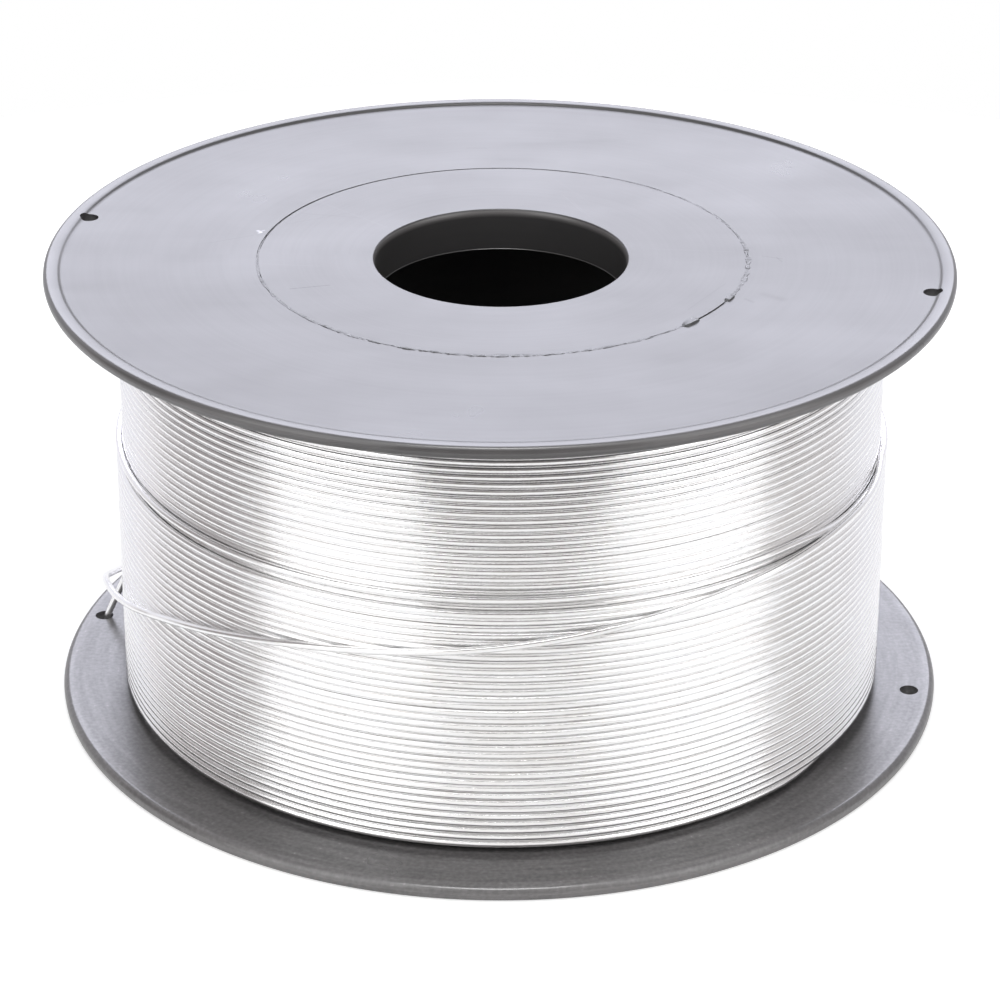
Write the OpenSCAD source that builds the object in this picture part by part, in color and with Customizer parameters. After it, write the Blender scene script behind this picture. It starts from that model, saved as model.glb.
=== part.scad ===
// Solder wire reel: two thin moulded flanges on a hollow hub, wound full of wire.
// The reel stands on its lower flange, with the origin at the middle of its base and +Z up the axis.

/* [Reel] */
// Diameter of both flanges
flange_d = 100; // [96:0.5:112]
// Width of the reel over the rims of both flanges
reel_w = 51.7; // [44:0.1:80]

/* [Flange] */
// Thickness of a flange at its edge, from the rim's top to the inner face
flange_t = 1.5; // [1.4:0.1:2.5]
// Height of the rim above the flange's outer face
rim_h = 0.3; // [0.1:0.05:0.6]
// Width of the rim's flat top
rim_w = 1.25; // [0.8:0.05:2]
// Width of the steep step from the rim's top down to the outer face
rim_slope_w = 0.5; // [0.3:0.1:1.5]
// Radius of the edge's corner on the outer side
outer_corner_r = 0.25; // [0.1:0.05:0.4]
// Radius of the edge's corner on the wire side
inner_corner_r = 1; // [0.3:0.05:1]

/* [Wire holes] */
// Diameter of the holes that hold a wire end
wire_hole_d = 2.1; // [1.8:0.1:2.6]
// Distance from a flange's edge in to the middle of its wire holes
wire_hole_inset = 2.4; // [2:0.1:3.5]
// Angle of the lower flange's first hole, the one that the wire's end goes into, the other is opposite
lower_hole_angle = 169; // [168:0.1:170]
// Angle of the upper flange's first hole, the other is opposite
upper_hole_angle = 167.2; // [166:0.1:169]

/* [Hub] */
// Diameter of the spindle bore
bore_d = 28; // [16:0.1:32]
// Radius of the bore's lip on the outer face
bore_lip_r = 0.3; // [0.1:0.05:0.6]
// Length of the collar round the bore, from the outer face
collar_l = 4.9; // [3.5:0.1:10]
// Wall of the collar
collar_wall = 1.9; // [1.2:0.1:3]
// Diameter of the hub caps' discs, that the flanges are welded round
cap_d = 53.9; // [50:0.1:60]
// Thickness of a hub cap's disc
cap_t = 2; // [1.6:0.1:3]
// Length of the skirt that locates a hub cap in the barrel, from the flange's inner face
skirt_l = 6; // [3:0.5:12]
// Wall of the skirt
skirt_wall = 1.6; // [1:0.1:2.5]
// Wall of the barrel
barrel_wall = 2.2; // [1.5:0.1:3]
// Clearance all round the skirt in the barrel
spigot_gap = 0.1; // [0.05:0.05:0.3]

/* [Weld] */
// Width of the weld bead at the outer face
weld_w = 0.8; // [0.4:0.1:1.2]
// Depth of the weld's groove below the outer face
weld_depth = 0.5; // [0.3:0.1:0.8]
// Height of the bead above the outer face
weld_crown = 0.12; // [0.05:0.01:0.2]

/* [Wire] */
// Diameter of the solder wire
wire_d = 0.8; // [0.6:0.05:0.9]
// Space between one turn and the next
turn_gap = 0.02; // [0.01:0.01:0.06]
// Distance from the flanges' edge in to the last layer that fills the whole width
winding_inset = 7.6; // [7:0.1:12]
// Height that the unfinished outer layer reaches above the lower flange
outer_layer_h = 28.8; // [25:0.1:34]
// Extra space below the last turn, beyond a turn's own
last_turn_slack = 0.06; // [0.02:0.01:0.15]
// Clearance between two layers, and between the crossing wire and what it lies on
lay_gap = 0.04; // [0.04:0.01:0.08]

/* [Hidden] */
$fn = 120;

moulded_black = [0.13, 0.13, 0.14];
weld_grey = [0.2, 0.2, 0.21];
solder_silver = [0.85, 0.86, 0.88];

// Flange and hub
flange_r = flange_d / 2;
web_t = flange_t - rim_h;
mid_z = reel_w / 2;
barrel_inner_r = cap_d / 2;
barrel_outer_r = barrel_inner_r + barrel_wall;
barrel_l = reel_w - 2 * flange_t;
bore_r = bore_d / 2;
collar_outer_r = bore_r + collar_wall;
skirt_outer_r = barrel_inner_r - spigot_gap;

wire_hole_at_r = flange_r - wire_hole_inset;

// Winding: each layer nests in the grooves of the layer below it
wire_r = wire_d / 2;
turn_pitch = wire_d + turn_gap;
inner_turns = floor((barrel_l - wire_d) / turn_pitch) + 1;
inner_first_z = mid_z - (inner_turns - 1) * turn_pitch / 2;
inner_centre_r = flange_r - winding_inset - wire_r;
layer_step = sqrt(pow(wire_d + lay_gap, 2) - pow(turn_pitch / 2, 2));
outer_centre_r = inner_centre_r + layer_step;
outer_first_z = inner_first_z + turn_pitch / 2;
outer_turns = floor((flange_t + outer_layer_h - wire_r - outer_first_z) / turn_pitch) + 1;
over_r = outer_centre_r + wire_d + lay_gap;
rising_z = outer_first_z + outer_turns * turn_pitch;
last_turn_z = rising_z + turn_pitch + last_turn_slack;

// The turn before the last one starts at the back and rises at the front, under the crossing wire
rise_from = -30;
rise_to = -48;
rising_start = 90;
// How far it has risen to the last turn's height, at each angle
rise_share = [[-48, 1], [-45, 0.9], [-42, 0.72], [-38, 0.42], [-34, 0.16], [-32, 0.06], [-30, 0]];
// The last turn leaves its own level at this angle and becomes the crossing wire
crossing_start = -12;
crossing_end = -150;
// Where the crossing wire lies at each angle: 0 in the outer layer, 1 on top of it
crossing_climb = [[-31, 1], [-28, 0.97], [-24, 0.86], [-20, 0.66], [-16, 0.32], [-14, 0.15], [-12, 0]];
// Its height above the lower flange at each angle, in percent of the last turn's height
crossing_height = [[-150, 56.2], [-144, 60.6], [-137, 64.9], [-128, 69.9], [-120, 73.6], [-112, 76.5],
                   [-103, 79.2], [-94, 81.8], [-87, 84], [-81, 85.9], [-74, 88.2], [-67, 90.3],
                   [-60, 92.2], [-52, 94.1], [-46, 95.4], [-40, 96.5], [-33, 97.8], [-28, 98.4],
                   [-24, 98.9], [-20, 99.4], [-16, 99.8], [-12, 100]];
// Its free end, round in a loop and down through the wire hole, as rows of
// [angle from that hole, 1 on top of the outer layer to 2 at the hole, height in percent as above]
tail_rows = [[36, 1.13, 53.5], [31, 1.21, 50.6], [27, 1.26, 48.5], [23, 1.29, 46.4],
             [20, 1.31, 44.5], [17, 1.3, 42], [14.5, 1.27, 39.2], [11.5, 1.22, 35.7],
             [8, 1.19, 32], [5, 1.17, 28.8], [2, 1.19, 25.2], [0.2, 1.25, 20.8],
             [-0.5, 1.34, 16.8], [-0.6, 1.46, 13.1], [-0.5, 1.58, 9.5], [-0.4, 1.72, 5.2],
             [-0.3, 1.87, 0.4], [-0.3, 1.92, -2], [-0.3, 1.94, -3.5]];
ring_step = 3;
// The wire's round is drawn with eight flats, which hold the same metal as the round wire
wire_sides = 8;

// ---- Revolved plastics ----

// What rounding takes off a corner that stands at the origin and points to +X +Y
module corner_waste(radius) {
    difference() {
        translate([-radius, -radius]) square(2 * radius);
        translate([-radius, -radius]) circle(radius);
    }
}

// Half section of a flange, with its outer face down
module flange_section() {
    rim_inner_r = flange_r - rim_w;
    face_r = rim_inner_r - rim_slope_w;
    difference() {
        polygon([[cap_d / 2, rim_h], [face_r, rim_h], [rim_inner_r, 0], [flange_r, 0],
                 [flange_r, flange_t], [cap_d / 2, flange_t]]);
        translate([flange_r, 0]) mirror([0, 1]) corner_waste(outer_corner_r);
        translate([flange_r, flange_t]) corner_waste(inner_corner_r);
        weld_groove_section();
    }
}

// Half section of the groove that the weld fills, round the joint of cap and flange
module weld_groove_section() {
    polygon([[cap_d / 2 - weld_w / 2, rim_h], [cap_d / 2 + weld_w / 2, rim_h],
             [cap_d / 2, rim_h + weld_depth]]);
}

// A flange with its outer face down, its first wire hole at the given angle
module flange(hole_angle) {
    difference() {
        rotate_extrude() flange_section();
        for (angle = [hole_angle, hole_angle + 180])
            rotate([0, 0, angle])
                translate([wire_hole_at_r, 0, -flange_t])
                    cylinder(h = 3 * flange_t, d = wire_hole_d);
    }
}

// Half section of a hub cap: disc, bore collar with a round lip, and locating skirt
module hub_cap_section() {
    difference() {
        union() {
            translate([bore_r, rim_h]) square([cap_d / 2 - bore_r, cap_t]);
            translate([bore_r, rim_h]) square([collar_wall, collar_l]);
            translate([skirt_outer_r - skirt_wall, rim_h]) square([skirt_wall, web_t + skirt_l]);
        }
        // The disc is the flange hole's size, and the skirt is smaller to pass into the barrel
        translate([skirt_outer_r, flange_t]) square([spigot_gap * 2, cap_t + skirt_l]);
        weld_groove_section();
        translate([bore_r, rim_h]) mirror([1, 0]) mirror([0, 1]) corner_waste(bore_lip_r);
    }
}

module hub_cap() {
    rotate_extrude() hub_cap_section();
}

// Bead that fills the weld's groove and stands a little above the faces, with its outer side down
module weld_bead() {
    crown_r = (weld_w * weld_w / 4 + weld_crown * weld_crown) / (2 * weld_crown);
    rotate_extrude() {
        weld_groove_section();
        intersection() {
            translate([cap_d / 2, rim_h - weld_crown + crown_r]) circle(crown_r);
            translate([cap_d / 2 - weld_w, rim_h - weld_crown]) square([2 * weld_w, weld_crown]);
        }
    }
}

// Turns a piece of the lower end over to the upper end
module to_upper_end() {
    translate([0, 0, reel_w]) rotate([180, 0, 0]) children();
}

// ---- Wire ----

// Distance from the wire's middle to the corners between its flats
function wire_corner_r(extra = 0) =
    (wire_r + extra) * sqrt(2 * PI / (wire_sides * sin(360 / wire_sides)));

// Cross section of the wire, or of the room round it, with flats up, down, in and out
module wire_profile(extra = 0) {
    rotate(180 / wire_sides) circle(wire_corner_r(extra), $fn = wire_sides);
}

// Half section of a layer's turns, filled in down to floor_r
module layer_section(turns, first_z, centre_r, floor_r) {
    last_z = first_z + (turns - 1) * turn_pitch;
    translate([floor_r, first_z]) square([centre_r - floor_r, last_z - first_z]);
    for (turn = [0 : turns - 1])
        translate([centre_r, first_z + turn * turn_pitch]) wire_profile();
}

function unit(v) = v / norm(v);

// Height of a share, in percent, of the last turn's height above the lower flange
function share_z(percent) = flange_t + (last_turn_z - flange_t) * percent / 100;

// Radius of a place: 0 in the outer layer, 1 on top of it, 2 at the wire holes
function place_r(place) =
    place < 1 ? outer_centre_r + place * (over_r - outer_centre_r)
              : over_r + (place - 1) * (wire_hole_at_r - over_r);

function round_axis(angle, radius, z) = [radius * cos(angle), radius * sin(angle), z];

// Direction of a route at one of its points, level at its first
function heading(route, i) =
    i == 0 ? unit([route[0][1], -route[0][0], 0])
           : unit(route[min(i + 1, len(route) - 1)] - route[i - 1]);

// Side direction of each ring, carried along the route without twist
function carried_sides(route, i = 0, side = [0, 0, 1]) =
    i == len(route) ? [] :
    let (ahead = heading(route, i),
         level = unit(side - ahead * (side * ahead)))
    concat([[level, cross(ahead, level)]], carried_sides(route, i + 1, level));

// Wire swept along a route as one closed solid
module swept_wire(route) {
    frames = carried_sides(route);
    rings = len(route);
    sides = wire_sides;
    points = [for (i = [0 : rings - 1], k = [0 : sides - 1])
        route[i] + wire_corner_r() * (cos((k + 0.5) * 360 / sides) * frames[i][0]
                                    + sin((k + 0.5) * 360 / sides) * frames[i][1])];
    walls = [for (i = [0 : rings - 2], k = [0 : sides - 1])
        let (a = i * sides + k, b = i * sides + (k + 1) % sides)
        each [[a, b, b + sides], [a, b + sides, a + sides]]];
    first_end = [for (k = [sides - 1 : -1 : 0]) k];
    last_end = [for (k = [0 : sides - 1]) (rings - 1) * sides + k];
    polyhedron(points, concat(walls, [first_end, last_end]));
}

// ---- Pieces ----

module lower_flange() {
    color(moulded_black) flange(lower_hole_angle);
}

module upper_flange() {
    color(moulded_black) to_upper_end() flange(-upper_hole_angle);
}

module core_barrel() {
    color(moulded_black)
        translate([0, 0, flange_t])
            rotate_extrude()
                translate([barrel_inner_r, 0]) square([barrel_wall, barrel_l]);
}

module lower_hub_cap() {
    color(moulded_black) hub_cap();
}

module upper_hub_cap() {
    color(moulded_black) to_upper_end() hub_cap();
}

module lower_weld_bead() {
    color(weld_grey) weld_bead();
}

module upper_weld_bead() {
    color(weld_grey) to_upper_end() weld_bead();
}

// All the layers from the barrel out to the last one that fills the width
module inner_wire_layers() {
    color(solder_silver)
        rotate_extrude() layer_section(inner_turns, inner_first_z, inner_centre_r, barrel_outer_r);
}

// The unfinished layer on top of them, seated in their grooves
module outer_wire_layer() {
    color(solder_silver)
        rotate_extrude()
            difference() {
                layer_section(outer_turns, outer_first_z, outer_centre_r, inner_centre_r + wire_r / 2);
                for (turn = [0 : inner_turns - 1])
                    translate([inner_centre_r, inner_first_z + turn * turn_pitch])
                        wire_profile(lay_gap);
            }
}

// The turn before the last one, from the back round to where it has risen to the last turn's level
module rising_turn() {
    route = [for (angle = [rising_start : -ring_step : rise_to])
        round_axis(angle, outer_centre_r, rising_z + (last_turn_z - rising_z) * lookup(angle, rise_share))];
    color(solder_silver) swept_wire(route);
}

// The last turn, from the end of that rise round to where the crossing begins
module last_full_turn() {
    color(solder_silver)
        translate([0, 0, last_turn_z])
            rotate([0, 0, crossing_start])
                rotate_extrude(angle = 360 + rise_to - crossing_start)
                    translate([outer_centre_r, 0]) wire_profile();
}

// The last stretch of wire: down across the outer layer, round a loop and into the lower flange's hole
module crossing_wire_end() {
    crossing = [for (angle = [crossing_start : -ring_step : crossing_end])
        round_axis(angle, place_r(lookup(angle, crossing_climb)), share_z(lookup(angle, crossing_height)))];
    tail = [for (row = tail_rows)
        round_axis(row[0] + lower_hole_angle - 360, place_r(row[1]), share_z(row[2]))];
    color(solder_silver) swept_wire(concat(crossing, tail));
}

lower_flange();
upper_flange();
core_barrel();
lower_hub_cap();
upper_hub_cap();
lower_weld_bead();
upper_weld_bead();
inner_wire_layers();
outer_wire_layer();
rising_turn();
last_full_turn();
crossing_wire_end();
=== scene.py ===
"""Dresses the solder wire reel: moulded black flanges and hub caps, welded seams, and turns of bright wire.

The reel's own lengths are in millimetres and are turned into metres by MM. The camera, floor, lamps and dark
card are placed in metres. The reel stands on the floor at the origin, with its axis along +Z.
"""

import math
import random

import bpy
from mathutils import Matrix, Vector, noise


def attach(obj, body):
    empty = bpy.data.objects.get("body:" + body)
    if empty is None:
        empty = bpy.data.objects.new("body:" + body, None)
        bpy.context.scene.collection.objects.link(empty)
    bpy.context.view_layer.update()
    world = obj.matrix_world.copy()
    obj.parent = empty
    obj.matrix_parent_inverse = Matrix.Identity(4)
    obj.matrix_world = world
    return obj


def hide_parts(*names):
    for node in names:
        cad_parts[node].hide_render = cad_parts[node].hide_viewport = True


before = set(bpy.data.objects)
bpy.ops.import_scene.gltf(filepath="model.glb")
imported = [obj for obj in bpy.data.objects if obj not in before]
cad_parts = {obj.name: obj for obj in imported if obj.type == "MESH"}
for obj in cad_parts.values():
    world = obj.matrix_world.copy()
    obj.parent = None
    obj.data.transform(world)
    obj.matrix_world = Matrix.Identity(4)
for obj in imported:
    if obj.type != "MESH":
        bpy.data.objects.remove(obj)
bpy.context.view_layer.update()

MM = 0.001

# ---- Sizes, in millimetres ----
# The main ones are those of the reel's solids. Rims, lips and rounded edges are as the mould left them.

FLANGE_R = 50.0
FLANGE_T = 1.5
REEL_W = 51.7
RIM_H = 0.3
RIM_W = 1.5
RIM_SLOPE_W = 0.6
OUTER_CORNER_R = 0.5
INNER_CORNER_R = 0.85
LOWER_INNER_CORNER_R = 0.75
# The slope from the flange's face up to its rim, and the rim's flat top, as (across, down)
RIM_SLOPE = [(-0.12, 0), (0, 0), (0.15, 0.015), (0.3, 0.08), (0.42, 0.19)]
RIM_TOP = [(-0.07, 0.04), (0, 0.01), (0.4, 0.0), (0.8, 0.005)]
PARTING_LINE = 0.015
WIRE_HOLE_R = 1.05
WIRE_HOLE_AT_R = 47.6
LOWER_HOLE_ANGLE = 169.0
# Each flange's two wire holes, as (angle, radius)
LOWER_HOLES = [(168.8, 47.5), (350.0, 47.25)]
UPPER_HOLES = [(166.9, 47.64), (347.6, 47.64)]
DRILL_L = 4.0
BORE_R = 13.85
BORE_LIP_W = 0.3
BORE_LIP_DEPTH = 0.8
COLLAR_L = 4.9
COLLAR_WALL = 1.9
CAP_R = 26.95
CAP_T = 2.0
SKIRT_L = 6.0
SKIRT_WALL = 1.6
SPIGOT_GAP = 0.1
WELD_W = 0.26
WELD_DEPTH = 0.5
# The upper cap was welded in a little off the middle
CAP_SHIFT = (0.26, -0.32)
BORE_SHIFT = (0.08, -0.32)
BARREL_R = 29.15

WIRE_R = 0.4
TURN_PITCH = 0.82
WIRE_SIDES = 16
INNER_WIRE_SIDES = 14
INNER_TURNS = 59
INNER_FIRST_Z = 2.07
INNER_CENTRE_R = 42.0
OUTER_TURNS = 34
OUTER_CENTRE_R = 42.733
OVER_R = 43.573
LAST_TURN_Z = 31.24
# The winding lies a little to one side on the barrel
WINDING_SHIFT = 0.2
CORE_R = 41.8
CORE_BOTTOM = 1.7
CORE_TOP = 50.0


# ---- Camera ----
# Its place in metres, its tilt up from looking straight down, and its roll round the line of sight.

CAMERA_PLACE = (0.0, -0.36105, 0.20031)
CAMERA_TILT = math.radians(66.778)
CAMERA_ROLL = math.radians(0.1375)

camera_data = bpy.data.cameras.new("camera")
camera_data.sensor_width = 36.0
camera_data.lens = 127.68
camera_data.shift_y = -0.19487
camera_data.clip_start = 0.01
camera = bpy.data.objects.new("camera", camera_data)
camera.matrix_world = (
    Matrix.Translation(CAMERA_PLACE)
    @ Matrix.Rotation(CAMERA_TILT, 4, "X")
    @ Matrix.Rotation(CAMERA_ROLL, 4, "Z")
)
bpy.context.scene.collection.objects.link(camera)
bpy.context.scene.camera = camera


# ---- Helpers for making pieces ----

def only(piece):
    """Makes one piece the only one selected, and the active one."""
    bpy.ops.object.select_all(action="DESELECT")
    piece.select_set(True)
    bpy.context.view_layer.objects.active = piece


def smooth(piece, degrees):
    """Shades a piece smooth, with edges kept where faces meet at more than this angle."""
    only(piece)
    bpy.ops.object.shade_smooth_by_angle(angle=math.radians(degrees))


def finished(piece, slot, *nodes):
    """Puts a piece on the reel in the place of its CAD nodes."""
    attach(piece, "root")
    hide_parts(*nodes)
    return piece


def turned(name, outline, steps=240):
    """A ring turned from a closed outline of (radius, height) points in millimetres, listed so that the
    material lies on the left of each line."""
    bpy.ops.object.select_all(action="DESELECT")
    first_r, first_z = outline[0]
    bpy.ops.mesh.primitive_circle_add(
        vertices=steps, radius=first_r * MM, fill_type="NOTHING", location=(0, 0, first_z * MM)
    )
    piece = bpy.context.object
    piece.name = piece.data.name = name
    bpy.ops.object.transform_apply(location=True, rotation=True, scale=True)
    bpy.ops.object.mode_set(mode="EDIT")
    bpy.ops.mesh.select_all(action="SELECT")
    last_r, last_z = first_r, first_z
    for radius, z in outline[1:] + outline[:1]:
        bpy.ops.mesh.extrude_edges_move(
            TRANSFORM_OT_translate={"value": (0, 0, (z - last_z) * MM)}
        )
        grow = radius / last_r
        if abs(grow - 1) > 1e-9:
            bpy.ops.transform.resize(value=(grow, grow, 1), center_override=(0, 0, 0))
        last_r, last_z = radius, z
    bpy.ops.mesh.select_all(action="SELECT")
    bpy.ops.mesh.remove_doubles(threshold=1e-7)
    bpy.ops.mesh.normals_make_consistent(inside=False)
    bpy.ops.object.mode_set(mode="OBJECT")
    return piece


def corner(centre_r, centre_z, radius, start, end, steps=6):
    """Points round a corner of an outline, from one angle to another in degrees."""
    return [
        (
            centre_r + radius * math.cos(math.radians(start + (end - start) * i / steps)),
            centre_z + radius * math.sin(math.radians(start + (end - start) * i / steps)),
        )
        for i in range(steps + 1)
    ]


def turned_over(outline):
    """The outline of the same piece at the upper end of the reel."""
    return [(r, REEL_W - z) for r, z in reversed(outline)]


def drill(piece, x, y, z, radius, depth):
    """Cuts a round hole along Z through a piece, all in millimetres."""
    bpy.ops.object.select_all(action="DESELECT")
    bpy.ops.mesh.primitive_cylinder_add(
        vertices=40, radius=radius * MM, depth=depth * MM, location=(x * MM, y * MM, z * MM)
    )
    cutter = bpy.context.object
    only(piece)
    cut = piece.modifiers.new("hole", "BOOLEAN")
    cut.operation = "DIFFERENCE"
    cut.solver = "EXACT"
    cut.object = cutter
    bpy.ops.object.modifier_apply(modifier=cut.name)
    bpy.data.objects.remove(cutter)


def nudge(piece, beyond, within, shift):
    """Moves the part of a piece that lies between two radii sideways."""
    for v in piece.data.vertices:
        if beyond * MM < math.hypot(v.co.x, v.co.y) < within * MM:
            v.co.x += shift[0] * MM
            v.co.y += shift[1] * MM


def wire_from(name, points, sides):
    """A round wire along points in millimetres, made as a curve and turned into a mesh."""
    curve = bpy.data.curves.new(name, "CURVE")
    curve.dimensions = "3D"
    curve.twist_mode = "Z_UP"
    curve.bevel_depth = WIRE_R * MM
    curve.bevel_resolution = sides // 2 - 2
    curve.use_fill_caps = True
    line = curve.splines.new("POLY")
    line.points.add(len(points) - 1)
    for spot, (x, y, z) in zip(line.points, points):
        spot.co = (x * MM, y * MM, z * MM, 1)
    piece = bpy.data.objects.new(name, curve)
    bpy.context.scene.collection.objects.link(piece)
    only(piece)
    bpy.ops.object.convert(target="MESH")
    piece = bpy.context.object
    piece.name = piece.data.name = name
    bpy.ops.object.mode_set(mode="EDIT")
    bpy.ops.mesh.select_all(action="SELECT")
    bpy.ops.mesh.remove_doubles(threshold=1e-7)
    bpy.ops.mesh.normals_make_consistent(inside=False)
    bpy.ops.object.mode_set(mode="OBJECT")
    smooth(piece, 60)
    return piece


def table(rows, at):
    """Smooth value of a table of (place, value) rows, places rising, at a place."""
    if at <= rows[0][0]:
        return rows[0][1]
    for i in range(len(rows) - 1):
        (x0, y0), (x1, y1) = rows[i], rows[i + 1]
        if at <= x1:
            before = rows[max(i - 1, 0)]
            after = rows[min(i + 2, len(rows) - 1)]
            slope0 = (y1 - before[1]) / (x1 - before[0])
            slope1 = (after[1] - y0) / (after[0] - x0)
            step = x1 - x0
            t = (at - x0) / step
            return (
                y0 * (2 * t ** 3 - 3 * t ** 2 + 1)
                + y1 * (3 * t ** 2 - 2 * t ** 3)
                + step * slope0 * (t ** 3 - 2 * t ** 2 + t)
                + step * slope1 * (t ** 3 - t ** 2)
            )
    return rows[-1][1]


# ---- Wire routes ----
# Angles are round the axis from +X, in degrees. The wire was wound with falling angle. FRONT is where the
# heights of the turns are given.

FRONT = -90.0
CROSSING_START = -12
CROSSING_END = -150
CROSSING_STEP = 3
# Degrees between two points of a wound layer's wire
INNER_STEP = 3.2
OUTER_STEP = 3.0
# Degrees by which a layer's wire starts before FRONT, or ends past it
INNER_LEAD = 50.0
OUTER_LEAD = 60.0
# A layer's wire comes up from between the turns below it: how deep, and over how many degrees
END_DEPTH = 0.9
END_RUN = 14.0
# Room between a turn and the ones it rests on
NEST_GAP = 0.03


def wander(angle, seed, reach):
    """Slow unevenness of a turn, in millimetres, at the wire's whole angle since it was wound."""
    return reach * noise.noise(Vector((angle / 37.0, seed, 0.3)))


def on_reel(angle, radius, z):
    """A point of the winding."""
    a = math.radians(angle)
    return (WINDING_SHIFT + radius * math.cos(a), radius * math.sin(a), z)


def inner_layer_z(angle):
    """Height of the inner layer's wire at its whole angle. It climbs as the angle falls."""
    return INNER_FIRST_Z + TURN_PITCH * (FRONT - angle) / 360.0


def nested_r(angle, z):
    """Radius at which a turn at this height rests on the inner layer's turns."""
    off = (z - inner_layer_z(angle)) % TURN_PITCH
    off = min(off, TURN_PITCH - off)
    return INNER_CENTRE_R + math.sqrt((2 * WIRE_R + NEST_GAP) ** 2 - off ** 2)


def inner_layer_route(step):
    """The last layer that fills the reel's width, from the lower flange up."""
    first = FRONT + INNER_LEAD
    whole = 360.0 * (INNER_TURNS - 1) + 2 * INNER_LEAD
    points = []
    for i in range(int(whole / step) + 1):
        angle = first - i * step
        z = inner_layer_z(angle) + wander(angle, 1.7, 0.035)
        radius = INNER_CENTRE_R + wander(angle, 5.1, 0.05)
        sunk = max(0.0, 1 - i * step / END_RUN, 1 - (whole - i * step) / END_RUN)
        points.append(on_reel(angle, radius - END_DEPTH * sunk, z))
    return points


# How far the turn before the last has risen to the last one's height, by angle, at the front right
RISE = [(-48.0, 1.0), (-45.0, 0.93), (-42.0, 0.76), (-38.0, 0.44), (-34.0, 0.14), (-32.0, 0.04), (-30.0, 0.0)]


def outer_layer_z(turned_by):
    """Height of the outer layer's wire, which was wound upwards, by how far it has turned since its first
    pass of FRONT."""
    return INNER_FIRST_Z + TURN_PITCH / 2 + TURN_PITCH * turned_by / 360.0


def outer_layer_route(step):
    """The unfinished layer with its last, raised turn, up to where the wire starts to cross."""
    full = 360.0 * OUTER_TURNS
    whole = full + 360.0 - (CROSSING_START - FRONT)
    count = int(round((whole + OUTER_LEAD) / step))
    points = []
    for i in range(count + 1):
        turned_by = -OUTER_LEAD + i * (whole + OUTER_LEAD) / count
        angle = FRONT - turned_by
        z = outer_layer_z(turned_by)
        z += (LAST_TURN_Z - z) * table(RISE, FRONT - (turned_by - full))
        z += wander(turned_by, 9.4, 0.035)
        radius = nested_r(angle, z) + wander(turned_by, 2.6, 0.03)
        sunk = max(0.0, 1 - i * step / END_RUN)
        points.append(on_reel(angle, radius - END_DEPTH * sunk, z))
    return points


# By angle, the crossing wire's height in percent of the way from the lower flange to the last turn, and its
# climb from the outer layer (0) to the top of it (1). Then its free end, as (angle from the wire hole, place,
# percent). All are as in the reel's source.
CROSSING_HEIGHT = [
    (-150, 56.2), (-144, 60.6), (-137, 64.9), (-128, 69.9), (-120, 73.6), (-112, 76.5), (-103, 79.2),
    (-94, 81.8), (-87, 84), (-81, 85.9), (-74, 88.2), (-67, 90.3), (-60, 92.2), (-52, 94.1), (-46, 95.4),
    (-40, 96.5), (-33, 97.8), (-28, 98.4), (-24, 98.9), (-20, 99.4), (-16, 99.8), (-12, 100),
]
CROSSING_CLIMB = [(-31, 1), (-28, 0.97), (-24, 0.86), (-20, 0.66), (-16, 0.32), (-14, 0.15), (-12, 0)]
TAIL = [
    (36, 1.13, 53.5), (31, 1.21, 50.6), (27, 1.26, 48.5), (23, 1.29, 46.4), (20, 1.31, 44.5),
    (17, 1.3, 42), (14.5, 1.27, 39.2), (11.5, 1.22, 35.7), (8, 1.19, 32), (5, 1.17, 28.8),
    (2, 1.19, 25.2), (0.2, 1.25, 20.8), (-0.5, 1.34, 16.8), (-0.6, 1.46, 13.1), (-0.5, 1.58, 9.5),
    (-0.4, 1.72, 5.2), (-0.3, 1.87, 0.4), (-0.3, 1.92, -2), (-0.3, 1.94, -3.5),
]
# Points over which the free end's centre goes from the middle of the winding to that of the reel
TAIL_EASE = 8.0


def place_r(place):
    """Radius of a place: 0 in the outer layer, 1 on top of it and 2 at the wire hole."""
    if place < 1:
        return OUTER_CENTRE_R + place * (OVER_R - OUTER_CENTRE_R)
    return OVER_R + (place - 1) * (WIRE_HOLE_AT_R - OVER_R)


def percent_z(percent):
    """Height of so many percent of the way from the lower flange to the last turn."""
    return FLANGE_T + (LAST_TURN_Z - FLANGE_T) * percent / 100.0


def smooth_line(points, between):
    """A smooth line through points, with this many steps between each two."""
    spots = [Vector(p) for p in points]
    spots = [2 * spots[0] - spots[1]] + spots + [2 * spots[-1] - spots[-2]]
    line = []
    for p0, p1, p2, p3 in zip(spots, spots[1:], spots[2:], spots[3:]):
        for i in range(between):
            t = i / between
            line.append(
                0.5 * (2 * p1 + (p2 - p0) * t + (2 * p0 - 5 * p1 + 4 * p2 - p3) * t ** 2
                       + (3 * p1 - p0 - 3 * p2 + p3) * t ** 3)
            )
    line.append(spots[-2])
    return line


def crossing_route():
    """The last stretch of wire: down across the outer layer, round a loop and into the wire hole."""
    points = []
    for angle in range(CROSSING_START, CROSSING_END - 1, -CROSSING_STEP):
        radius = place_r(table(CROSSING_CLIMB, angle))
        points.append(on_reel(angle, radius, percent_z(table(CROSSING_HEIGHT, angle))))
    for row, (from_hole, place, percent) in enumerate(TAIL):
        a = math.radians(from_hole + LOWER_HOLE_ANGLE)
        shift = WINDING_SHIFT * max(0.0, 1 - (row + 1) / TAIL_EASE)
        radius = place_r(place)
        points.append((shift + radius * math.cos(a), radius * math.sin(a), percent_z(percent)))
    return smooth_line(points, 4)


# ---- Wire pieces ----

crossing_line = crossing_route()
crossing_wire = wire_from("crossing_wire", crossing_line, WIRE_SIDES)
finished(crossing_wire, "solder_wire", "crossing_wire_end")

outer_layer_wire = wire_from("outer_layer_wire", outer_layer_route(OUTER_STEP), WIRE_SIDES)
finished(outer_layer_wire, "solder_wire", "outer_wire_layer", "rising_turn", "last_full_turn")

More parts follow.
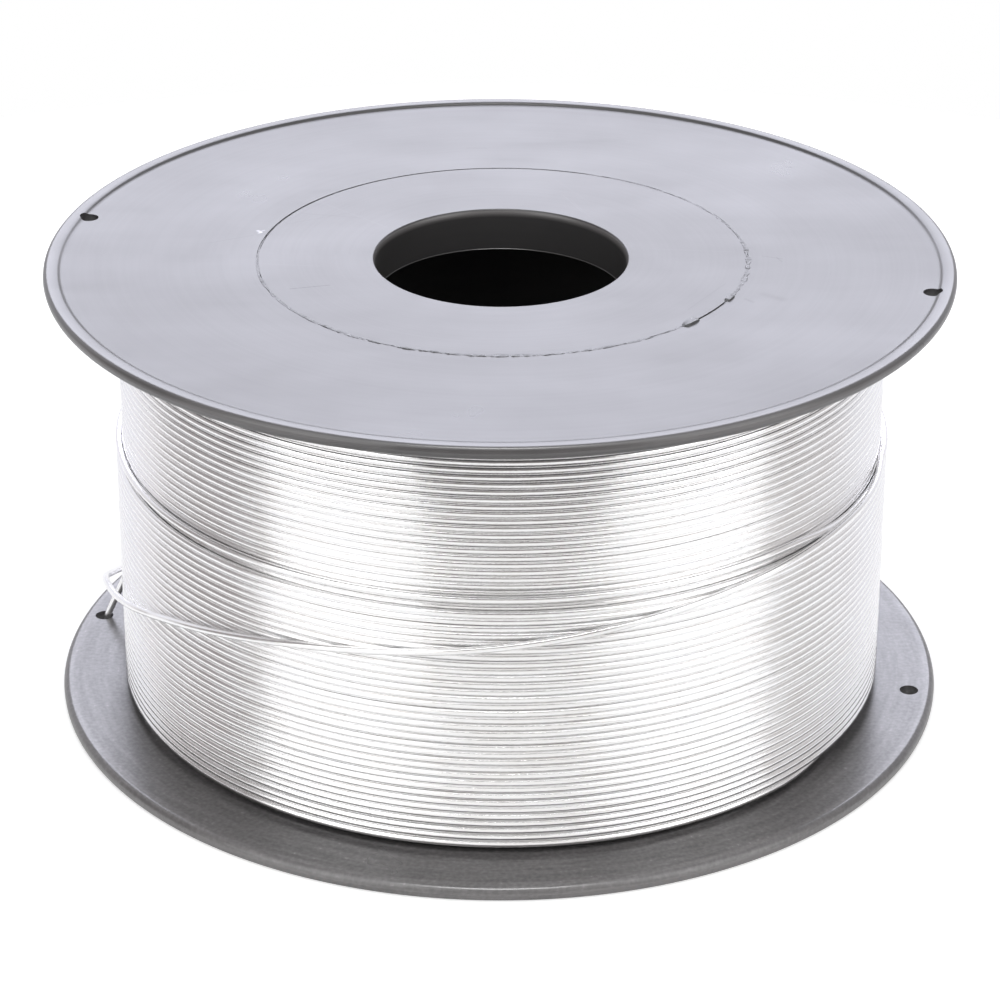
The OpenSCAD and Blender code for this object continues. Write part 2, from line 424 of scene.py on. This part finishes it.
inner_layer_wire = wire_from("inner_layer_wire", inner_layer_route(INNER_STEP), INNER_WIRE_SIDES)
# What lies below the last full layer is closed off as one ring of wound wire
wound_core = turned(
    "wound_core",
    [(BARREL_R, CORE_BOTTOM), (CORE_R, CORE_BOTTOM), (CORE_R, CORE_TOP), (BARREL_R, CORE_TOP)],
    steps=160,
)
smooth(wound_core, 40)
finished(inner_layer_wire, "solder_wire", "inner_wire_layers")
finished(wound_core, "solder_wire", "inner_wire_layers")


# ---- Moulded pieces ----

def flange_outline(inner_corner_r=INNER_CORNER_R):
    """Outline of the lower flange, outer face down: face, rim, rounded edge with the mould's parting line,
    inner face."""
    rim_in = FLANGE_R - RIM_W
    face_out = rim_in - RIM_SLOPE_W
    edge_top = FLANGE_T - inner_corner_r
    return (
        [(CAP_R + WELD_W / 2, RIM_H)]
        + [(face_out + across, RIM_H - down) for across, down in RIM_SLOPE]
        + [(rim_in + across, down) for across, down in RIM_TOP]
        + corner(FLANGE_R - OUTER_CORNER_R, OUTER_CORNER_R, OUTER_CORNER_R, -90, 0)
        + [(FLANGE_R, edge_top - 0.06), (FLANGE_R + PARTING_LINE, edge_top)]
        + corner(FLANGE_R - inner_corner_r, edge_top, inner_corner_r, 3, 90, 10)
        + [(FLANGE_R - inner_corner_r - 0.1, FLANGE_T), (CAP_R, FLANGE_T), (CAP_R, RIM_H + WELD_DEPTH)]
    )


def cap_outline():
    """Outline of the lower hub cap: bore collar with a round lip, disc and locating skirt."""
    skirt_out = CAP_R - SPIGOT_GAP
    skirt_in = skirt_out - SKIRT_WALL
    collar_out = BORE_R + COLLAR_WALL
    disc_in = RIM_H + CAP_T
    return (
        [(BORE_R + BORE_LIP_W * (1 - math.cos(a)), RIM_H + BORE_LIP_DEPTH * (1 - math.sin(a)))
         for a in (math.radians(10 * i) for i in range(10))]
        + [(BORE_R + BORE_LIP_W + 0.06, RIM_H), (CAP_R - WELD_W / 2, RIM_H)]
        + [(CAP_R, RIM_H + WELD_DEPTH), (CAP_R, FLANGE_T)]
        + [(skirt_out, FLANGE_T), (skirt_out, FLANGE_T + SKIRT_L), (skirt_in, FLANGE_T + SKIRT_L)]
        + [(skirt_in, disc_in), (collar_out, disc_in)]
        + [(collar_out, RIM_H + COLLAR_L - 0.1), (collar_out - 0.1, RIM_H + COLLAR_L)]
        + [(BORE_R + 0.1, RIM_H + COLLAR_L), (BORE_R - 0.05, RIM_H + COLLAR_L - 0.06)]
        + [(BORE_R - 0.05, RIM_H + COLLAR_L - 0.12), (BORE_R, RIM_H + COLLAR_L - 0.16)]
    )


def flange(name, node, outline, middle_z, holes, cap_shift=(0, 0)):
    """A flange disc with its wire holes, each given as (angle, radius), round a cap that may lie off the
    middle."""
    piece = turned(name, outline)
    nudge(piece, 0, CAP_R + 1, cap_shift)
    for angle, at_r in holes:
        a = math.radians(angle)
        drill(piece, at_r * math.cos(a), at_r * math.sin(a), middle_z, WIRE_HOLE_R, DRILL_L)
    smooth(piece, 35)
    return finished(piece, "moulded_plastic", node)


lower_flange_disc = flange(
    "lower_flange_disc", "lower_flange", flange_outline(LOWER_INNER_CORNER_R), FLANGE_T / 2, LOWER_HOLES
)
upper_flange_disc = flange(
    "upper_flange_disc", "upper_flange", turned_over(flange_outline()), REEL_W - FLANGE_T / 2, UPPER_HOLES,
    CAP_SHIFT,
)

lower_cap = turned("lower_cap", cap_outline())
upper_cap = turned("upper_cap", turned_over(cap_outline()))
nudge(upper_cap, BORE_R + COLLAR_WALL + 0.1, CAP_R + 1, CAP_SHIFT)
nudge(upper_cap, 0, BORE_R + COLLAR_WALL + 0.1, BORE_SHIFT)
for cap, node in ((lower_cap, "lower_hub_cap"), (upper_cap, "upper_hub_cap")):
    smooth(cap, 35)
    finished(cap, "moulded_plastic", node)


def weld_ring(name, node, upper, seed, stretches, lumps):
    """The ring of melted plastic round a cap. Stretches give (angle, height, width) all round, and lumps
    (angle, height, half length in degrees, width)."""
    half = WELD_W / 2
    crown = [
        (CAP_R - half, RIM_H + 0.1), (CAP_R - half, RIM_H), (CAP_R - half * 0.7, RIM_H),
        (CAP_R - half * 0.3, RIM_H), (CAP_R + half * 0.3, RIM_H), (CAP_R + half * 0.7, RIM_H),
        (CAP_R + half, RIM_H), (CAP_R + half, RIM_H + 0.1), (CAP_R, RIM_H + WELD_DEPTH),
    ]
    if upper:
        crown = turned_over(crown)
    piece = turned(name, crown, steps=1400)
    sway = random.Random(seed).uniform(0, 50)
    face_z = REEL_W - RIM_H if upper else RIM_H
    out = 1 if upper else -1

    def rough(x, y, scale, layer):
        return noise.noise(Vector((x * scale, y * scale, sway + layer)))

    for v in piece.data.vertices:
        x, y, z = v.co / MM
        if (z - face_z) * out < -0.05:
            continue
        radius = math.hypot(x, y)
        a = math.degrees(math.atan2(y, x)) % 360
        side = (radius - CAP_R) / half
        middle = max(0.0, 1 - side ** 12)
        height = table([(at, h) for at, h, w in stretches], a)
        width = table([(at, w) for at, h, w in stretches], a)
        crumbs = 0.6 + 1.1 * rough(x, y, 1.3, 0) + 1.3 * rough(x, y, 3.4, 3)
        if height > 0:
            height *= max(0.0, crumbs)
        height += 0.02 * rough(x, y, 2.3, 5)
        width *= 0.9 + 0.8 * rough(x, y, 0.8, 7)
        off = 0.12 * rough(x, y, 0.45, 9) * min(1.0, width)
        for at, lump, length, swell in lumps:
            away = abs((a - at + 180) % 360 - 180) / length
            near = max(0.0, 1 - away ** 4)
            height = height * (1 - near) + lump * near
            width = width * (1 - near) + swell * near
        radius += side * half * (width - 1) + off
        z = face_z + out * height * middle if abs(side) < 0.99 else z + out * (-0.05 if width > 1 else 0.0)
        grow = radius / math.hypot(x, y)
        v.co = Vector((x * grow, y * grow, z)) * MM
    smooth(piece, 40)
    return finished(piece, "weld_plastic", node)


UPPER_STRETCHES = [
    (0, 0.05, 2.4), (12, 0.045, 2.2), (24, 0.02, 1.4), (45, 0.01, 1.0), (75, -0.025, 0.45),
    (100, -0.03, 0.35), (150, -0.035, 0.35), (172, -0.035, 0.6), (190, 0.03, 1.7), (215, 0.04, 1.9),
    (240, 0.045, 2.2), (262, 0.06, 2.7), (285, 0.05, 2.2), (305, 0.03, 1.3), (314, 0.02, 1.1),
    (321, -0.05, 0.36), (331, -0.05, 0.36), (337, 0.04, 2.0), (346, 0.05, 2.6), (360, 0.05, 2.4),
]
UPPER_LUMPS = [(317.5, 0.24, 2.9, 4.2), (334.3, 0.2, 1.9, 3.4)]
LOWER_STRETCHES = [(0, -0.03, 0.8), (90, 0.02, 1.4), (180, 0.03, 1.7), (270, -0.02, 0.8), (360, -0.03, 0.8)]
upper_weld_ring = weld_ring("upper_weld_ring", "upper_weld_bead", True, 11, UPPER_STRETCHES, UPPER_LUMPS)
nudge(upper_weld_ring, 0, CAP_R + 2, CAP_SHIFT)
lower_weld_ring = weld_ring("lower_weld_ring", "lower_weld_bead", False, 23, LOWER_STRETCHES, [])


# ---- Finishes ----

class Finish:
    """A material being put together from shader nodes."""

    def __init__(self, name):
        self.material = bpy.data.materials.new(name)
        self.material.use_nodes = True
        self.tree = self.material.node_tree
        self.shader = self.tree.nodes["Principled BSDF"]
        self.place = self.add("ShaderNodeTexCoord").outputs["Object"]

    def add(self, kind, **settings):
        made = self.tree.nodes.new(kind)
        for key, value in settings.items():
            setattr(made, key, value)
        return made

    def link(self, source, target):
        self.tree.links.new(source, target)

    def sum(self, operation, first, second=None, clamp=False):
        made = self.add("ShaderNodeMath", operation=operation, use_clamp=clamp)
        for i, value in enumerate((first, second)):
            if value is None:
                continue
            if isinstance(value, (int, float)):
                made.inputs[i].default_value = value
            else:
                self.link(value, made.inputs[i])
        return made.outputs[0]

    def grain(self, vector, scale, detail=3.0, rough=0.5):
        made = self.add("ShaderNodeTexNoise")
        self.link(vector, made.inputs["Vector"])
        made.inputs["Scale"].default_value = scale
        made.inputs["Detail"].default_value = detail
        made.inputs["Roughness"].default_value = rough
        return made.outputs["Fac"]

    def spread(self, value, low, high, to_low, to_high):
        made = self.add("ShaderNodeMapRange")
        self.link(value, made.inputs["Value"])
        for key, number in zip(("From Min", "From Max", "To Min", "To Max"), (low, high, to_low, to_high)):
            made.inputs[key].default_value = number
        return made.outputs["Result"]

    def parts(self, vector):
        made = self.add("ShaderNodeSeparateXYZ")
        self.link(vector, made.inputs[0])
        return made.outputs

    def more(self, total, share, amount):
        """A total with an amount added where a share is 1."""
        return self.sum("ADD", total, self.sum("MULTIPLY", share, amount))

    def round_axis(self):
        """Place as x, y, z, and its distance from the reel's axis."""
        x, y, z = self.parts(self.place)
        return x, y, z, self.sum(
            "SQRT", self.sum("ADD", self.sum("MULTIPLY", x, x), self.sum("MULTIPLY", y, y))
        )

    def polar(self, along, across, up):
        """Place as (angle, radius, height), each stretched by a number."""
        x, y, z, radius = self.round_axis()
        angle = self.sum("ARCTAN2", y, x)
        made = self.add("ShaderNodeCombineXYZ")
        self.link(self.sum("MULTIPLY", angle, along), made.inputs[0])
        self.link(self.sum("MULTIPLY", radius, across), made.inputs[1])
        self.link(self.sum("MULTIPLY", z, up), made.inputs[2])
        return made.outputs[0]

    def stretched(self, x, y, z):
        made = self.add("ShaderNodeVectorMath", operation="MULTIPLY")
        self.link(self.place, made.inputs[0])
        made.inputs[1].default_value = (x, y, z)
        return made.outputs[0]

    def stroke(self, x0, y0, x1, y1, half_width):
        """1 along a line on the upper face, given in millimetres, falling to 0 at its half width."""
        flat = self.add("ShaderNodeVectorMath", operation="MULTIPLY_ADD")
        self.link(self.place, flat.inputs[0])
        flat.inputs[1].default_value = (1 / MM, 1 / MM, 0)
        flat.inputs[2].default_value = (-x0, -y0, 0)
        run = (x1 - x0, y1 - y0, 0)
        along = self.add("ShaderNodeVectorMath", operation="DOT_PRODUCT")
        self.link(flat.outputs[0], along.inputs[0])
        along.inputs[1].default_value = tuple(v / (run[0] ** 2 + run[1] ** 2) for v in run)
        share = self.sum("ADD", along.outputs["Value"], 0.0, clamp=True)
        nearest = self.add("ShaderNodeVectorMath", operation="SCALE")
        nearest.inputs[0].default_value = run
        self.link(share, nearest.inputs["Scale"])
        away = self.add("ShaderNodeVectorMath", operation="DISTANCE")
        self.link(flat.outputs[0], away.inputs[0])
        self.link(nearest.outputs[0], away.inputs[1])
        return self.spread(away.outputs["Value"], 0.0, half_width, 1.0, 0.0)

    def colours(self, value, low, high, clamped=True):
        made = self.add("ShaderNodeMix", data_type="RGBA", clamp_factor=clamped)
        self.link(value, made.inputs["Factor"])
        made.inputs["A"].default_value = (*low, 1)
        made.inputs["B"].default_value = (*high, 1)
        return made.outputs["Result"]

    def bump(self, height, strength, distance, after=None):
        made = self.add("ShaderNodeBump")
        self.link(height, made.inputs["Height"])
        made.inputs["Strength"].default_value = strength
        made.inputs["Distance"].default_value = distance
        if after is not None:
            self.link(after, made.inputs["Normal"])
        return made.outputs["Normal"]

    def set(self, **sockets):
        names = {"color": "Base Color", "rough": "Roughness", "normal": "Normal", "metal": "Metallic",
                 "ior": "IOR", "sheen": "Specular IOR Level"}
        for key, value in sockets.items():
            socket = self.shader.inputs[names[key]]
            if isinstance(value, bpy.types.NodeSocket):
                self.link(value, socket)
            elif isinstance(value, tuple):
                socket.default_value = (*value, 1)
            else:
                socket.default_value = value
        return self.material


def solder_finish():
    """Bright drawn wire: fine draw marks along it, small pits, and dull and bright stretches."""
    f = Finish("bright_solder_wire")
    along = f.polar(14.0, 5200.0, 5200.0)
    draw_marks = f.grain(along, 1.0, 3.0, 0.6)
    pits = f.grain(f.polar(150.0, 6500.0, 6500.0), 1.0, 2.0, 0.6)
    stretches = f.grain(f.polar(9.0, 900.0, 900.0), 1.0, 2.0)
    rough = f.spread(f.sum("ADD", stretches, f.sum("MULTIPLY", pits, 0.5)), 0.45, 1.0, 0.15, 0.27)
    colour = f.colours(f.spread(stretches, 0.3, 0.7, 0, 1), (0.93, 0.92, 0.915), (0.965, 0.965, 0.97))
    normal = f.bump(draw_marks, 0.08, 0.00003)
    normal = f.bump(pits, 0.18, 0.00004, normal)
    return f.set(color=colour, rough=rough, normal=normal, metal=1.0)


# Marks on the upper face, as both ends, half width, and how light (+) or dull (-) they are
MARKS = [
    (-22.6, -9.7, -18.35, -8.6, 0.08, -0.9), (-32.3, 3.3, -27.6, 5.6, 0.12, -0.25),
    (-20.6, 15.8, -12.6, 8.0, 0.22, 0.10), (-22.7, 12.3, -15.6, 10.9, 0.25, -0.12),
    (7.2, 18.1, 9.3, 12.9, 0.10, 0.22), (8.1, 16.6, 10.15, 11.35, 0.08, 0.20),
    (6.5, 22.9, 10.25, 15.65, 0.08, 0.12), (28.3, -10.9, 30.3, -12.3, 0.75, -0.22),
    (26.3, -12.2, 27.0, -13.0, 0.3, -0.3), (28.9, -0.1, 31.0, -0.9, 0.12, -0.45),
    (30.4, -0.5, 30.9, -1.7, 0.12, -0.4), (1.1, 34.3, 14.3, 36.1, 1.1, -0.10),
    (0.0, 29.5, 6.4, 28.4, 0.8, -0.10), (-21.5, 19.0, -18.6, 19.8, 1.0, -0.12),
    (-25.7, -2.7, -19.7, -3.3, 0.2, 0.10), (16.6, 1.9, 25.9, 1.05, 0.12, 0.16),
    (20.0, -15.0, 24.3, -8.0, 0.12, -0.2),
    # A small white chip
    (-27.1, 6.95, -26.75, 6.6, 0.28, 3.0), (-26.95, 6.3, -26.7, 6.5, 0.2, 3.0),
    (-26.6, 7.0, -26.4, 7.1, 0.16, 2.0),
    (-4.0, 33.3, -1.6, 33.3, 0.1, -0.4), (40.0, 27.4, 42.4, 27.0, 0.1, -0.2),
    (33.5, 27.3, 34.4, 27.3, 0.2, -0.2), (-24.0, 9.0, -17.0, 12.5, 0.15, -0.14),
]
# A mark lighter than this is a chip and is paler in itself too
CHIP = 0.5
# Moulded plastic as new, and what each 1 of paleness takes it towards. Paleness is partly real wear and
# partly painted reflection, highlight and light
NEW_BLACK = (0.058, 0.056, 0.057)
WORN_AND_PAINTED_LIGHT_BLACK = (0.075, 0.072, 0.073)
PALEST = 9.0
DULLEST = 0.02


def moulded_finish(name, marks=(), scuffed_with_painted_light=0.0):
    """Black moulded plastic with a satin skin: faint turning lines from the mould, dull and rubbed patches, a
    worn rim whose paleness is partly a painted reflection, a painted reflection on the outer edge, a painted
    highlight on the bore lip, any single marks, and scuffs all over where asked for, whose overall paleness
    is partly painted light."""
    f = Finish(name)
    patches = f.grain(f.place, 48.0, 4.0, 0.6)
    smears = f.grain(f.stretched(35.0, 160.0, 60.0), 1.0, 3.0, 0.6)
    rings = f.grain(f.polar(0.5, 2600.0, 900.0), 1.0, 1.0, 0.5)
    sheen = f.sum("ADD", f.spread(smears, 0.3, 0.7, 0.45, 0.54), f.spread(rings, 0.3, 0.7, -0.02, 0.02))
    pale = f.spread(patches, 0.3, 0.7, 0.0, 0.5)

    x, y, z, radius = f.round_axis()
    # The rim top is paler with real wear; the same paleness runs fully onto the outer wall, where it is a
    # painted reflection
    rim = f.spread(radius, (FLANGE_R - RIM_W) * MM, (FLANGE_R - 0.1) * MM, 0.0, 1.0)
    sheen = f.more(sheen, rim, 0.35)
    pale = f.more(pale, f.sum("MULTIPLY", rim, patches), 5.0)
    # A paler band on the outer wall of each flange: a painted reflection
    edge = f.spread(radius, (FLANGE_R - 0.06) * MM, FLANGE_R * MM, 0.0, 1.0)
    pale = f.more(pale, f.sum("MULTIPLY", edge, patches), 8.0)

    # The lip lies between two heights, measured from the reel's middle, and close to the bore. Its paler band
    # is a painted highlight
    level = f.sum("ABSOLUTE", f.sum("SUBTRACT", z, REEL_W / 2 * MM))
    face = REEL_W / 2 - RIM_H
    lip = f.spread(level, (face - BORE_LIP_DEPTH - 0.1) * MM, (face - 0.5) * MM, 0.0, 1.0)
    lip = f.sum("MULTIPLY", lip, f.spread(level, (face - 0.22) * MM, (face - 0.08) * MM, 1.0, 0.0))
    lip = f.sum("MULTIPLY", lip, f.spread(radius, (BORE_R + 0.7) * MM, (BORE_R + 1.0) * MM, 1.0, 0.0))
    sheen = f.more(sheen, lip, 0.2)
    pale = f.more(pale, lip, 6.0)

    # Scuffs, grit and white specks are real marks; their overall paleness on the lower flange is also painted
    # light, standing in for the brighter light that flange catches
    if scuffed_with_painted_light:
        streaks = f.grain(f.polar(7.0, 1500.0, 900.0), 1.0, 2.0, 0.6)
        grit = f.grain(f.place, 2100.0, 1.0, 0.5)
        scuffs = f.sum("ADD", f.spread(streaks, 0.35, 0.75, 0.3, 1.3), f.spread(grit, 0.35, 0.75, 0.0, 1.0))
        specks = f.sum(
            "MULTIPLY", f.spread(grit, 0.70, 0.76, 0.0, 1.0), f.spread(streaks, 0.52, 0.62, 0.0, 1.0)
        )
        sheen = f.more(sheen, scuffs, 0.06 * scuffed_with_painted_light)
        pale = f.more(f.more(pale, scuffs, scuffed_with_painted_light), specks, 4.0)
    for *stroke, light in marks:
        mark = f.sum("MULTIPLY", f.stroke(*stroke), light)
        sheen = f.more(sheen, mark, 0.5)
        if light > CHIP:
            pale = f.more(pale, mark, 2.0)
    colour = f.colours(f.sum("MINIMUM", pale, PALEST), NEW_BLACK, WORN_AND_PAINTED_LIGHT_BLACK, clamped=False)
    return f.set(
        color=colour, rough=f.spread(patches, 0.3, 0.75, 0.27, 0.35), normal=f.bump(rings, 0.06, 0.00003),
        ior=1.53, sheen=f.sum("MAXIMUM", sheen, DULLEST),
    )


def weld_finish():
    """Plastic that has melted and set: rough, with glossier runs."""
    f = Finish("melted_plastic")
    lumps = f.grain(f.place, 1500.0, 4.0, 0.7)
    colour = f.colours(lumps, (0.04, 0.04, 0.041), (0.11, 0.11, 0.115))
    rough = f.spread(lumps, 0.3, 0.7, 0.2, 0.5)
    return f.set(color=colour, rough=rough, normal=f.bump(lumps, 0.4, 0.00012), ior=1.55)


def dress(piece, material):
    piece.data.materials.clear()
    piece.data.materials.append(material)


solder = solder_finish()
moulded = moulded_finish("moulded_black_plastic")
rubbed = moulded_finish("rubbed_black_plastic", MARKS)
# The lower flange: real scuffs, with a paleness that is partly painted light
scuffed_with_painted_light = moulded_finish("scuffed_black_plastic", scuffed_with_painted_light=2.3)
melted = weld_finish()
for piece in (crossing_wire, outer_layer_wire, inner_layer_wire, wound_core):
    dress(piece, solder)
for piece in (lower_cap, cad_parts["core_barrel"]):
    dress(piece, moulded)
dress(lower_flange_disc, scuffed_with_painted_light)
for piece in (upper_flange_disc, upper_cap):
    dress(piece, rubbed)
for piece in (upper_weld_ring, lower_weld_ring):
    dress(piece, melted)


# ---- Floor, lights and surround ----

def seen_directly(nodes, links):
    """A number that is 1 for the camera's own rays and for those that a glossy or clear surface sends on."""
    path = nodes.new("ShaderNodeLightPath")
    either = nodes.new("ShaderNodeMath")
    either.operation = "MAXIMUM"
    links.new(path.outputs["Is Camera Ray"], either.inputs[0])
    links.new(path.outputs["Is Glossy Ray"], either.inputs[1])
    any_of = nodes.new("ShaderNodeMath")
    any_of.operation = "MAXIMUM"
    links.new(either.outputs[0], any_of.inputs[0])
    links.new(path.outputs["Is Transmission Ray"], any_of.inputs[1])
    return path, any_of.outputs[0]


FLOOR_R = 0.2
# What the floor adds to the light that it sends back, to the camera and in reflections
FLOOR_GLOW = 0.65
FLOOR_GLOW_MIRRORED = 0.45


def studio_floor():
    """A white floor that shows white, and keeps the reel's shadow."""
    bpy.ops.object.select_all(action="DESELECT")
    bpy.ops.mesh.primitive_circle_add(vertices=96, radius=FLOOR_R, fill_type="NGON", location=(0, 0, 0))
    floor = bpy.context.object
    floor.name = "studio_floor"
    material = bpy.data.materials.new("studio_floor")
    material.use_nodes = True
    nodes, links = material.node_tree.nodes, material.node_tree.links
    shader = nodes["Principled BSDF"]
    shader.inputs["Base Color"].default_value = (0.6, 0.6, 0.6, 1)
    shader.inputs["Roughness"].default_value = 0.9
    shader.inputs["Specular IOR Level"].default_value = 0.1
    shader.inputs["Emission Color"].default_value = (1, 1, 1, 1)
    path, seen = seen_directly(nodes, links)
    glow = nodes.new("ShaderNodeMath")
    glow.operation = "MULTIPLY"
    links.new(seen, glow.inputs[0])
    glow.inputs[1].default_value = FLOOR_GLOW_MIRRORED
    shown = nodes.new("ShaderNodeMix")
    links.new(path.outputs["Is Camera Ray"], shown.inputs["Factor"])
    links.new(glow.outputs[0], shown.inputs["A"])
    shown.inputs["B"].default_value = FLOOR_GLOW
    links.new(shown.outputs["Result"], shader.inputs["Emission Strength"])
    floor.data.materials.append(material)


# What the lamps face: the reel's middle, near enough
AIM = Vector((0, 0, 0.026))


def softbox(name, angle, elevation, distance, width, height, level, tint=(1, 1, 1)):
    """A lamp panel facing the reel, from an angle and elevation in degrees. The level is the panel's own
    brightness, where 1 is a lit white card."""
    lamp = bpy.data.lights.new(name, "AREA")
    lamp.shape = "RECTANGLE"
    lamp.size = width
    lamp.size_y = height
    lamp.energy = level * math.pi * width * height
    lamp.color = tint
    box = bpy.data.objects.new(name, lamp)
    a, e = math.radians(angle), math.radians(elevation)
    spot = AIM + distance * Vector((math.cos(a) * math.cos(e), math.sin(a) * math.cos(e), math.sin(e)))
    box.matrix_world = Matrix.Translation(spot) @ (spot - AIM).to_track_quat("Z", "Y").to_matrix().to_4x4()
    bpy.context.scene.collection.objects.link(box)


# Colour of the room round the reel, as reflections show it, by direction in degrees from the front
ROOM = [
    (-180, (0.80, 0.80, 0.86)), (-140, (0.90, 0.90, 0.96)), (-117, (0.78, 0.76, 0.78)),
    (-110, (0.34, 0.32, 0.32)), (-78, (0.32, 0.30, 0.30)), (-67, (0.8, 0.8, 0.8)), (-30, (0.85, 0.85, 0.85)),
    (-22, (1.0, 0.99, 0.98)), (8, (0.97, 0.96, 0.95)), (30, (0.82, 0.81, 0.80)), (38, (0.8, 0.8, 0.8)),
    (76, (0.8, 0.8, 0.8)), (85, (0.53, 0.51, 0.51)), (112, (0.58, 0.56, 0.57)), (122, (0.78, 0.78, 0.82)),
    (140, (0.92, 0.92, 0.97)), (180, (0.80, 0.80, 0.86)),
]
CEILING = (0.95, 0.95, 0.97)
# The sine of the height at which the room turns into ceiling, from and to
CEILING_FROM = 0.80
CEILING_TO = 0.93
EVEN_LIGHT = (0.12, 0.12, 0.12)
WHITE = (1.0, 1.0, 1.0)


def surround():
    """A white room: white to the camera, a softer even light on everything, and uneven in reflections."""
    world = bpy.data.worlds.new("surround")
    bpy.context.scene.world = world
    world.use_nodes = True
    nodes, links = world.node_tree.nodes, world.node_tree.links
    background = nodes["Background"]

    def add(kind, **settings):
        made = nodes.new(kind)
        for key, value in settings.items():
            setattr(made, key, value)
        return made

    def blend(share, first, second):
        made = add("ShaderNodeMix", data_type="RGBA")
        links.new(share, made.inputs["Factor"])
        for key, value in (("A", first), ("B", second)):
            if isinstance(value, tuple):
                made.inputs[key].default_value = (*value, 1)
            else:
                links.new(value, made.inputs[key])
        return made.outputs["Result"]

    way = add("ShaderNodeSeparateXYZ")
    links.new(add("ShaderNodeTexCoord").outputs["Generated"], way.inputs[0])
    forward = add("ShaderNodeMath", operation="MULTIPLY")
    links.new(way.outputs["Y"], forward.inputs[0])
    forward.inputs[1].default_value = -1.0
    aside = add("ShaderNodeMath", operation="ARCTAN2")
    links.new(way.outputs["X"], aside.inputs[0])
    links.new(forward.outputs[0], aside.inputs[1])
    share = add("ShaderNodeMapRange")
    links.new(aside.outputs[0], share.inputs["Value"])
    share.inputs["From Min"].default_value = -math.pi
    share.inputs["From Max"].default_value = math.pi
    room = add("ShaderNodeValToRGB")
    links.new(share.outputs["Result"], room.inputs["Fac"])
    stops = room.color_ramp.elements
    while len(stops) < len(ROOM):
        stops.new(0.5)
    for stop, (degrees, colour) in zip(stops, ROOM):
        stop.position = degrees / 360.0 + 0.5
    for stop, (degrees, colour) in zip(stops, ROOM):
        stop.color = (*colour, 1)
    overhead = add("ShaderNodeMapRange", interpolation_type="SMOOTHSTEP")
    links.new(way.outputs["Z"], overhead.inputs["Value"])
    overhead.inputs["From Min"].default_value = CEILING_FROM
    overhead.inputs["From Max"].default_value = CEILING_TO

    mirrored = blend(overhead.outputs["Result"], room.outputs["Color"], CEILING)
    path, seen = seen_directly(nodes, links)
    shown = blend(path.outputs["Is Camera Ray"], mirrored, WHITE)
    links.new(blend(seen, EVEN_LIGHT, shown), background.inputs["Color"])
    background.inputs["Strength"].default_value = 1.0


# The dark card
FLAG_PLACE = (0.004, -0.070, 0.0520)
FLAG_W = 0.050
FLAG_H = 0.022


def dark_flag():
    """A dark card close to the reel's front, that only reflections show."""
    bpy.ops.object.select_all(action="DESELECT")
    bpy.ops.mesh.primitive_plane_add(size=1.0, location=FLAG_PLACE, rotation=(math.radians(90), 0, 0))
    card = bpy.context.object
    card.name = "dark_flag"
    card.scale = (FLAG_W, FLAG_H, 1)
    bpy.ops.object.transform_apply(location=True, rotation=True, scale=True)
    material = bpy.data.materials.new("dark_card")
    material.use_nodes = True
    shader = material.node_tree.nodes["Principled BSDF"]
    shader.inputs["Base Color"].default_value = (0, 0, 0, 1)
    shader.inputs["Specular IOR Level"].default_value = 0.0
    shader.inputs["Emission Color"].default_value = (0.20, 0.185, 0.18, 1)
    shader.inputs["Emission Strength"].default_value = 1.0
    card.data.materials.append(material)
    card.visible_camera = card.visible_diffuse = card.visible_shadow = card.visible_transmission = False


studio_floor()
softbox("back_softbox", 90, 32, 1.0, 0.76, 0.55, 4.5, (0.87, 0.88, 1.0))
softbox("overhead_softbox", -90, 78, 0.9, 0.27, 0.27, 12.0)
softbox("left_softbox", -137, 30, 0.9, 0.65, 1.26, 1.15)
softbox("right_softbox", -33, 30, 0.9, 0.66, 1.26, 1.15)
surround()
dark_flag()

scene = bpy.context.scene
scene.view_settings.view_transform = "Standard"
